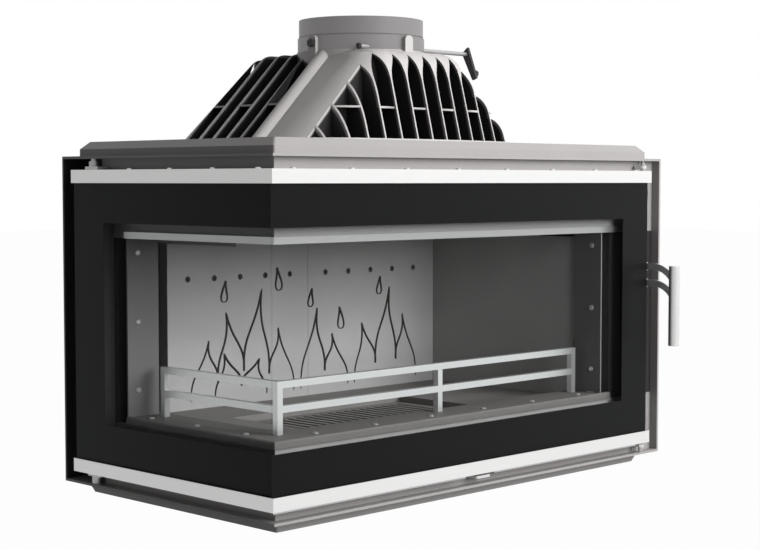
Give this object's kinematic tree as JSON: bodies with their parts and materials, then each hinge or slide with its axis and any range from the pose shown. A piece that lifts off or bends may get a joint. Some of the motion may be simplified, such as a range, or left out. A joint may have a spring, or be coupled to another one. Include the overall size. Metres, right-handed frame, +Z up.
{
  "type": "corner fireplace insert",
  "caption": "Corner wood-burning fireplace insert with an L-shaped glazed door, log retainer, finned cast dome and a damper in its flue collar.",
  "frame": {"origin": "on the floor, straight under the axis of the flue collar", "axes": "+Z up along the flue, +X along the long glass towards the handle, -Y out of the long glass"},
  "size_m": [0.905, 0.5682, 0.7445],
  "materials": {
    "grey_paint": "satin light grey paint",
    "dark_paint": "matt dark heat-resistant paint",
    "cast_grey": "painted cast iron, satin grey",
    "cast_dark": "dark cast iron",
    "trim_steel": "brushed stainless steel",
    "bright_steel": "bright drawn steel",
    "bare_steel": "plain steel",
    "lining": "light grey fire lining",
    "pane": "clear ceramic glass",
    "rope": "dark fibre rope seal"
  },
  "bodies": {
    "carcass": {"plinth_pan": "dark_paint", "bottom_plate": "grey_paint", "top_plate": "grey_paint", "right_side_plate": "grey_paint", "back_plate": "grey_paint", "top_tray": "grey_paint", "frame_bottom": "grey_paint", "frame_top": "grey_paint", "frame_jambs": "dark_paint", "shell_back": "dark_paint", "shell_right": "dark_paint", "shell_left": "dark_paint", "hinge_shroud": "dark_paint", "hearth_plate": "cast_dark", "door_sill": "cast_dark", "lintel": "bare_steel", "post_plates": "lining", "back_lining": "lining", "right_lining": "lining", "baffle_plate": "lining", "smoke_deflector": "dark_paint", "deflector_hangers": "dark_paint", "air_box": "dark_paint", "ash_pan": "bare_steel", "shutter_guides": "bare_steel", "latch_keepers": "bare_steel", "hinge_pins": "bare_steel", "hinge_washer": "bare_steel", "plate_screws": "bare_steel", "dome": "cast_grey", "flue_collar": "bare_steel", "collar_bolts": "bare_steel"},
    "door": {"top_trim": "trim_steel", "bottom_trim": "trim_steel", "front_glass": "pane", "side_glass": "pane", "door_top_rail": "dark_paint", "door_bottom_rail": "dark_paint", "door_right_stile": "dark_paint", "door_rear_stile": "dark_paint", "door_seal": "rope", "glass_clips": "bare_steel", "bottom_lip": "bare_steel", "trim_screws": "bright_steel", "spindle_brackets": "dark_paint", "hinge_leaves": "bare_steel"},
    "handle": {"handle_spindle": "bare_steel", "handle_arms": "bright_steel", "handle_bar": "bright_steel", "latch_hooks": "bright_steel"},
    "damper": {"damper_rod": "bare_steel", "damper_flap": "bare_steel", "damper_crank": "dark_paint", "damper_bolt": "bare_steel"},
    "air_control": {"air_shutter": "bare_steel", "air_lever": "bright_steel"},
    "log_retainer": {"retainer_top_rail": "bright_steel", "retainer_posts": "bright_steel", "retainer_mid_rail": "bright_steel"},
    "loose_grate": {"grate": "cast_dark"}
  },
  "joints": [
    {"name": "door_swing", "type": "hinge", "parent": "carcass", "child": "door", "pos_m": [-0.393, 0.182, 0.273], "axis": [0, 0, -1], "range_deg": [0, 95]},
    {"name": "handle_turn", "type": "hinge", "parent": "door", "child": "handle", "pos_m": [0.431, -0.245, 0.273], "axis": [0, 0, 1], "range_deg": [0, 45]},
    {"name": "damper_turn", "type": "hinge", "parent": "carcass", "child": "damper", "pos_m": [0, -0.078, 0.6969], "axis": [1, 0, 0], "range_deg": [0, 60]},
    {"name": "air_slide", "type": "slide", "parent": "carcass", "child": "air_control", "axis": [1, 0, 0], "range_m": [-0.03, 0]},
    {"name": "retainer_lift", "type": "slide", "parent": "carcass", "child": "log_retainer", "axis": [0, 0, 1], "range_m": [0, 0.05]},
    {"name": "grate_lift", "type": "slide", "parent": "carcass", "child": "loose_grate", "axis": [0, 0, 1], "range_m": [0, 0.06]}
  ]
}
